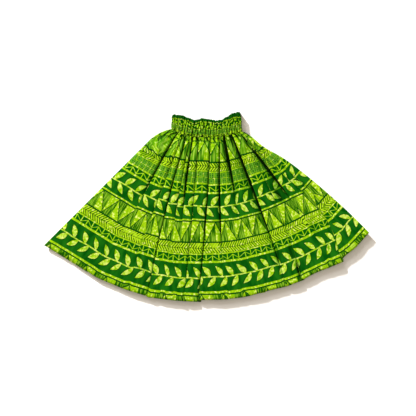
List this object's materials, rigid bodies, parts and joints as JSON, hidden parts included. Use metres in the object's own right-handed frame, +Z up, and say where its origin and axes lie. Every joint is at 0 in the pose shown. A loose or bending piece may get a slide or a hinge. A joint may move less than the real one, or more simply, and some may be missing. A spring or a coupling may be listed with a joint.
{
  "type": "pau skirt laid flat",
  "caption": "Gathered cotton hula skirt with an elastic waist casing, laid flat and fanned out by its pleats.",
  "frame": {"origin": "on the table, under the middle of the skirt's box", "axes": "+X to the right as seen from above with the waist away, +Y from the hem to the waist, +Z up from the table"},
  "size_m": [1.366, 0.7931, 0.033],
  "materials": {
    "printed_cotton": "matte cotton broadcloth printed in limes and greens",
    "ruched_cotton": "the same printed cotton, ruched over elastic"
  },
  "bodies": {
    "root": {"skirt_front": "printed_cotton", "skirt_back": "printed_cotton", "waist_casing_front": "ruched_cotton", "waist_casing_back": "ruched_cotton"}
  },
  "joints": []
}
